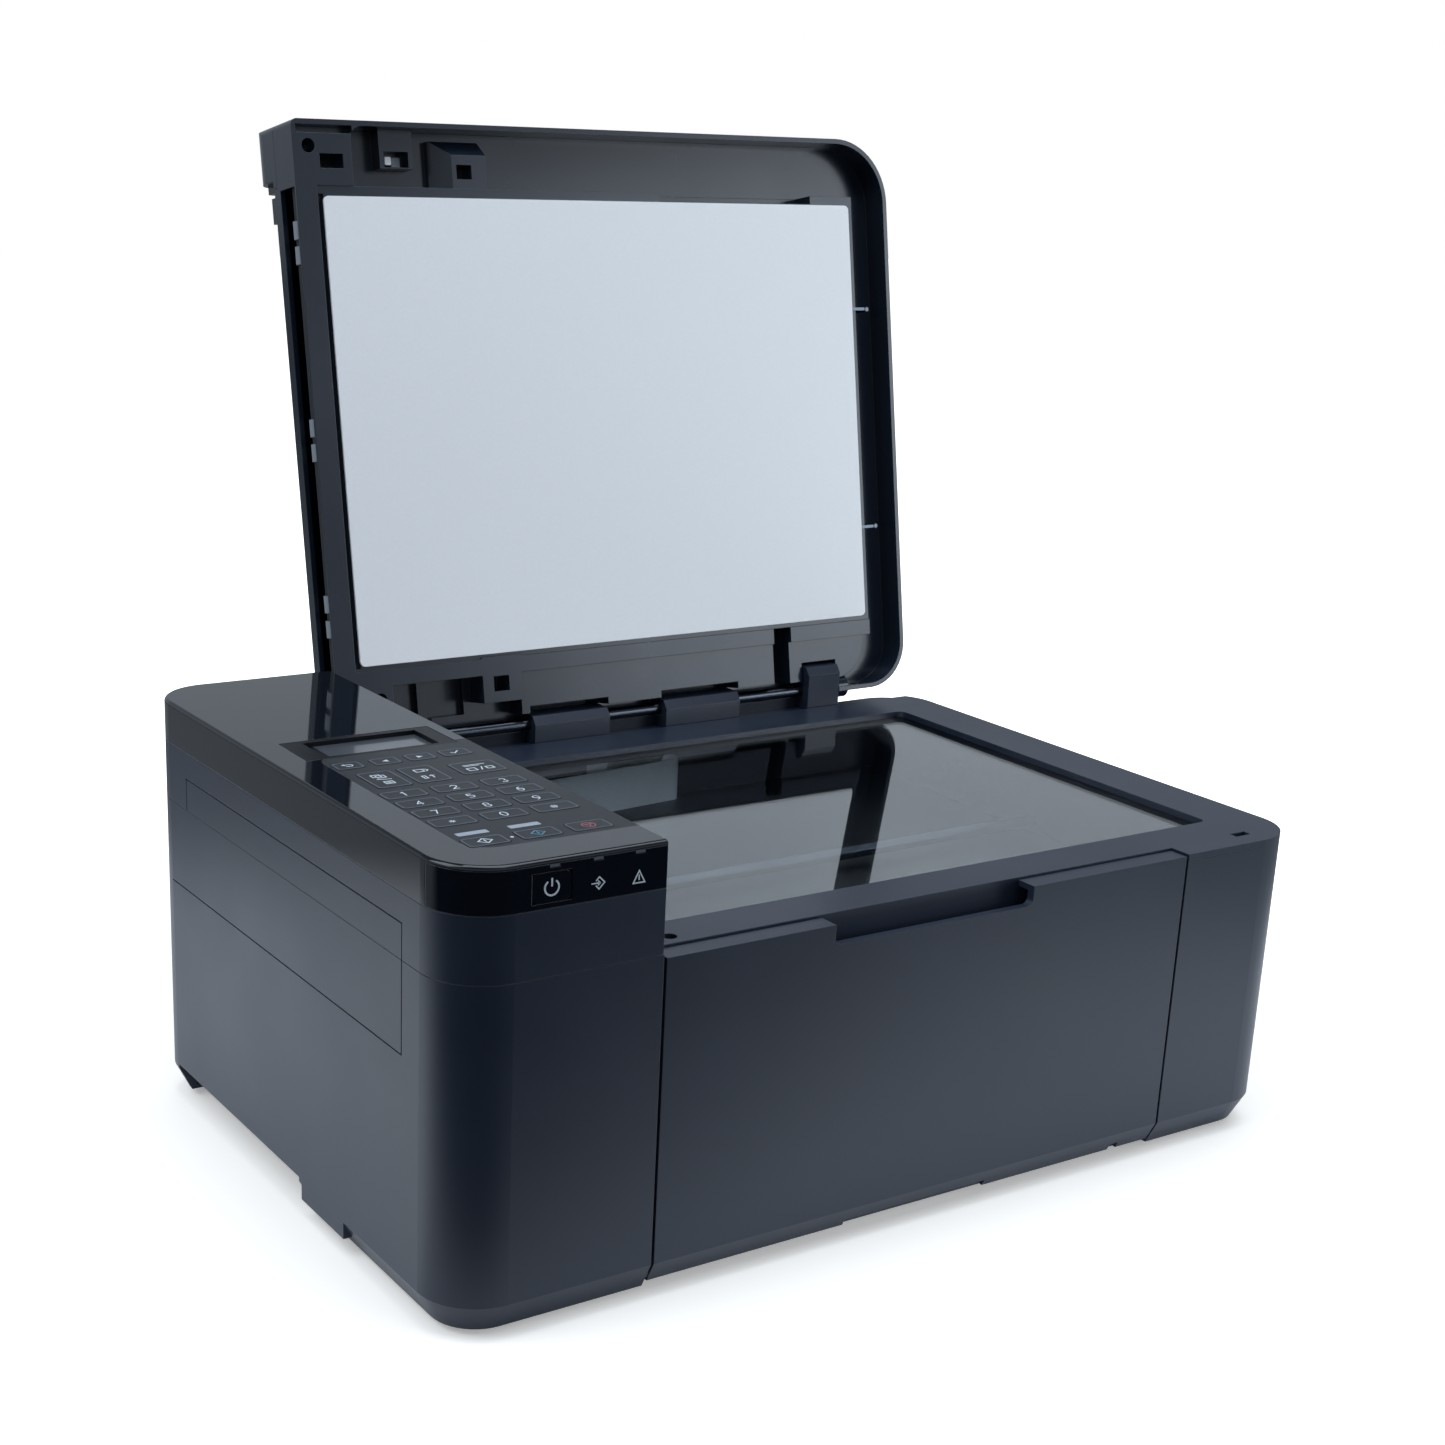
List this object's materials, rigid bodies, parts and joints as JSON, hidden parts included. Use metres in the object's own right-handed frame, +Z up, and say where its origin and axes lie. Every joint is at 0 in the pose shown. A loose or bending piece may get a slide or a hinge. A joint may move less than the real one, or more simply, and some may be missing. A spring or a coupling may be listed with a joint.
{
  "type": "inkjet all-in-one printer",
  "caption": "Charcoal inkjet all-in-one printer, document cover open over a scanner glass, key panel on the left, front paper cover with finger notch.",
  "frame": {"origin": "on the table under the middle of the closed printer's 435 x 295 mm envelope", "axes": "+X to the printer's right, +Y to its back, +Z up"},
  "size_m": [0.435, 0.3734, 0.4319],
  "materials": {
    "case_abs": "moulded ABS, fine spark texture, charcoal",
    "lid_abs": "moulded ABS, fine texture, charcoal",
    "panel_abs": "moulded ABS under a semi-gloss film, charcoal",
    "panel_gloss": "moulded ABS, polished tool, near black",
    "key_cap": "moulded polycarbonate key, printed legend",
    "power_cap": "moulded ABS, polished tool, near black",
    "lamp_clear": "smoked acrylic light guide",
    "lcd_surround": "moulded ABS, polished tool",
    "lcd_glass": "reflective LCD under a clear cover",
    "platen": "float glass, polished edges",
    "white_sheet": "white film on foam, satin",
    "steel": "drawn steel rod",
    "foot_rubber": "moulded rubber, matt",
    "belt_rubber": "moulded rubber belt",
    "roller_rubber": "ground rubber roller",
    "feed_roller_grey": "light grey rubber rings",
    "inner_abs": "moulded ABS, black",
    "tray_abs": "moulded ABS, dark grey",
    "board_green": "solder-masked board",
    "ribbon": "polyester flat cable, grey",
    "cartridge_shell": "moulded polypropylene",
    "supply_case": "moulded ABS, black"
  },
  "bodies": {
    "case": {"lower_case": "case_abs", "upper_case": "case_abs", "platen_glass": "platen", "scanner_tub": "inner_abs", "scan_rail": "steel", "scan_flex_cable": "ribbon", "panel_housing": "panel_abs", "panel_front": "panel_gloss", "lcd_frame": "lcd_surround", "lcd_window": "lcd_glass", "lamp_guide": "lamp_clear", "panel_board": "board_green", "hinge_rod": "steel", "print_engine_base": "inner_abs", "carriage_rail": "steel", "main_board": "board_green", "power_supply": "supply_case", "feed_belt": "belt_rubber", "feet": "foot_rubber", "screws": "steel"},
    "lid": {"lid_base": "lid_abs", "lid_shell": "lid_abs", "lid_pad": "white_sheet"},
    "feeder_cover": {"feeder_cover": "lid_abs"},
    "document_tray": {"document_tray": "lid_abs"},
    "adf_roller": {"adf_roller": "feed_roller_grey"},
    "front_cover": {"front_cover": "case_abs", "paper_tray": "tray_abs"},
    "paper_guide_left": {"paper_guide_left": "tray_abs"},
    "paper_guide_right": {"paper_guide_right": "tray_abs"},
    "rear_cover": {"rear_cover": "case_abs"},
    "scan_carriage": {"scan_carriage": "inner_abs"},
    "print_carriage": {"print_carriage": "inner_abs", "ink_cartridge_black": "cartridge_shell", "ink_cartridge_colour": "cartridge_shell"},
    "feed_roller": {"feed_roller": "roller_rubber"},
    "exit_roller": {"exit_roller": "roller_rubber"},
    "power_button": {"power_button": "power_cap"},
    "key_back": {"key_back": "key_cap"},
    "key_left": {"key_left": "key_cap"},
    "key_right": {"key_right": "key_cap"},
    "key_ok": {"key_ok": "key_cap"},
    "key_function_one": {"key_function_one": "key_cap"},
    "key_function_two": {"key_function_two": "key_cap"},
    "key_menu": {"key_menu": "key_cap"},
    "key_1": {"key_1": "key_cap"},
    "key_2": {"key_2": "key_cap"},
    "key_3": {"key_3": "key_cap"},
    "key_4": {"key_4": "key_cap"},
    "key_5": {"key_5": "key_cap"},
    "key_6": {"key_6": "key_cap"},
    "key_7": {"key_7": "key_cap"},
    "key_8": {"key_8": "key_cap"},
    "key_9": {"key_9": "key_cap"},
    "key_star": {"key_star": "key_cap"},
    "key_0": {"key_0": "key_cap"},
    "key_hash": {"key_hash": "key_cap"},
    "key_black": {"key_black": "key_cap"},
    "key_colour": {"key_colour": "key_cap"},
    "key_stop": {"key_stop": "key_cap"}
  },
  "joints": [
    {"name": "lid_hinge", "type": "hinge", "parent": "case", "child": "lid", "pos_m": [0, 0.1388, 0.1504], "axis": [1, 0, 0], "range_deg": [0, 100.2]},
    {"name": "feeder_cover_hinge", "type": "hinge", "parent": "lid", "child": "feeder_cover", "pos_m": [-0.0485, 0.1992, 0.28056], "axis": [0, -0.1771, -0.9842], "range_deg": [0, 70]},
    {"name": "document_tray_hinge", "type": "hinge", "parent": "lid", "child": "document_tray", "pos_m": [0.1095, 0.19989, 0.28044], "axis": [0, -0.1771, -0.9842], "range_deg": [0, 110]},
    {"name": "adf_roller_spin", "type": "hinge", "parent": "lid", "child": "adf_roller", "pos_m": [-0.1219, 0.16446, 0.28681], "axis": [0, -0.1771, -0.9842], "continuous": true},
    {"name": "front_cover_hinge", "type": "hinge", "parent": "case", "child": "front_cover", "pos_m": [0, -0.141, 0.0095], "axis": [1, 0, 0], "range_deg": [0, 90]},
    {"name": "paper_guide_left_slide", "type": "slide", "parent": "front_cover", "child": "paper_guide_left", "axis": [1, 0, 0], "range_m": [0, 0.06]},
    {"name": "paper_guide_right_slide", "type": "slide", "parent": "front_cover", "child": "paper_guide_right", "axis": [1, 0, 0], "range_m": [-0.06, 0]},
    {"name": "rear_cover_hinge", "type": "hinge", "parent": "case", "child": "rear_cover", "pos_m": [0, 0.138, 0.0426], "axis": [-1, 0, 0], "range_deg": [0, 80]},
    {"name": "scan_travel", "type": "slide", "parent": "case", "child": "scan_carriage", "axis": [1, 0, 0], "range_m": [0, 0.295]},
    {"name": "carriage_travel", "type": "slide", "parent": "case", "child": "print_carriage", "axis": [-1, 0, 0], "range_m": [0, 0.285]},
    {"name": "feed_roller_spin", "type": "hinge", "parent": "case", "child": "feed_roller", "pos_m": [0, 0.02, 0.04], "axis": [1, 0, 0], "continuous": true},
    {"name": "exit_roller_spin", "type": "hinge", "parent": "case", "child": "exit_roller", "pos_m": [0, -0.05, 0.04], "axis": [1, 0, 0], "continuous": true},
    {"name": "power_button_press", "type": "slide", "parent": "case", "child": "power_button", "axis": [0, 1, 0], "range_m": [0, 0.0008], "stiffness_N_per_m": 2500, "springref_m": -0.0004},
    {"name": "key_back_press", "type": "slide", "parent": "case", "child": "key_back", "axis": [0, 0, -1], "range_m": [0, 0.00035], "stiffness_N_per_m": 4000, "springref_m": -0.0003},
    {"name": "key_left_press", "type": "slide", "parent": "case", "child": "key_left", "axis": [0, 0, -1], "range_m": [0, 0.00035], "stiffness_N_per_m": 4000, "springref_m": -0.0003},
    {"name": "key_right_press", "type": "slide", "parent": "case", "child": "key_right", "axis": [0, 0, -1], "range_m": [0, 0.00035], "stiffness_N_per_m": 4000, "springref_m": -0.0003},
    {"name": "key_ok_press", "type": "slide", "parent": "case", "child": "key_ok", "axis": [0, 0, -1], "range_m": [0, 0.00035], "stiffness_N_per_m": 4000, "springref_m": -0.0003},
    {"name": "key_function_one_press", "type": "slide", "parent": "case", "child": "key_function_one", "axis": [0, 0, -1], "range_m": [0, 0.00035], "stiffness_N_per_m": 4000, "springref_m": -0.0003},
    {"name": "key_function_two_press", "type": "slide", "parent": "case", "child": "key_function_two", "axis": [0, 0, -1], "range_m": [0, 0.00035], "stiffness_N_per_m": 4000, "springref_m": -0.0003},
    {"name": "key_menu_press", "type": "slide", "parent": "case", "child": "key_menu", "axis": [0, 0, -1], "range_m": [0, 0.00035], "stiffness_N_per_m": 4000, "springref_m": -0.0003},
    {"name": "key_1_press", "type": "slide", "parent": "case", "child": "key_1", "axis": [0, 0, -1], "range_m": [0, 0.00035], "stiffness_N_per_m": 4000, "springref_m": -0.0003},
    {"name": "key_2_press", "type": "slide", "parent": "case", "child": "key_2", "axis": [0, 0, -1], "range_m": [0, 0.00035], "stiffness_N_per_m": 4000, "springref_m": -0.0003},
    {"name": "key_3_press", "type": "slide", "parent": "case", "child": "key_3", "axis": [0, 0, -1], "range_m": [0, 0.00035], "stiffness_N_per_m": 4000, "springref_m": -0.0003},
    {"name": "key_4_press", "type": "slide", "parent": "case", "child": "key_4", "axis": [0, 0, -1], "range_m": [0, 0.00035], "stiffness_N_per_m": 4000, "springref_m": -0.0003},
    {"name": "key_5_press", "type": "slide", "parent": "case", "child": "key_5", "axis": [0, 0, -1], "range_m": [0, 0.00035], "stiffness_N_per_m": 4000, "springref_m": -0.0003},
    {"name": "key_6_press", "type": "slide", "parent": "case", "child": "key_6", "axis": [0, 0, -1], "range_m": [0, 0.00035], "stiffness_N_per_m": 4000, "springref_m": -0.0003},
    {"name": "key_7_press", "type": "slide", "parent": "case", "child": "key_7", "axis": [0, 0, -1], "range_m": [0, 0.00035], "stiffness_N_per_m": 4000, "springref_m": -0.0003},
    {"name": "key_8_press", "type": "slide", "parent": "case", "child": "key_8", "axis": [0, 0, -1], "range_m": [0, 0.00035], "stiffness_N_per_m": 4000, "springref_m": -0.0003},
    {"name": "key_9_press", "type": "slide", "parent": "case", "child": "key_9", "axis": [0, 0, -1], "range_m": [0, 0.00035], "stiffness_N_per_m": 4000, "springref_m": -0.0003},
    {"name": "key_star_press", "type": "slide", "parent": "case", "child": "key_star", "axis": [0, 0, -1], "range_m": [0, 0.00035], "stiffness_N_per_m": 4000, "springref_m": -0.0003},
    {"name": "key_0_press", "type": "slide", "parent": "case", "child": "key_0", "axis": [0, 0, -1], "range_m": [0, 0.00035], "stiffness_N_per_m": 4000, "springref_m": -0.0003},
    {"name": "key_hash_press", "type": "slide", "parent": "case", "child": "key_hash", "axis": [0, 0, -1], "range_m": [0, 0.00035], "stiffness_N_per_m": 4000, "springref_m": -0.0003},
    {"name": "key_black_press", "type": "slide", "parent": "case", "child": "key_black", "axis": [0, 0, -1], "range_m": [0, 0.00035], "stiffness_N_per_m": 4000, "springref_m": -0.0003},
    {"name": "key_colour_press", "type": "slide", "parent": "case", "child": "key_colour", "axis": [0, 0, -1], "range_m": [0, 0.00035], "stiffness_N_per_m": 4000, "springref_m": -0.0003},
    {"name": "key_stop_press", "type": "slide", "parent": "case", "child": "key_stop", "axis": [0, 0, -1], "range_m": [0, 0.00035], "stiffness_N_per_m": 4000, "springref_m": -0.0003}
  ],
  "couplings": [
    {"joint": "paper_guide_right_slide", "follows": "paper_guide_left_slide", "ratio": -1},
    {"joint": "exit_roller_spin", "follows": "feed_roller_spin", "ratio": 1}
  ]
}
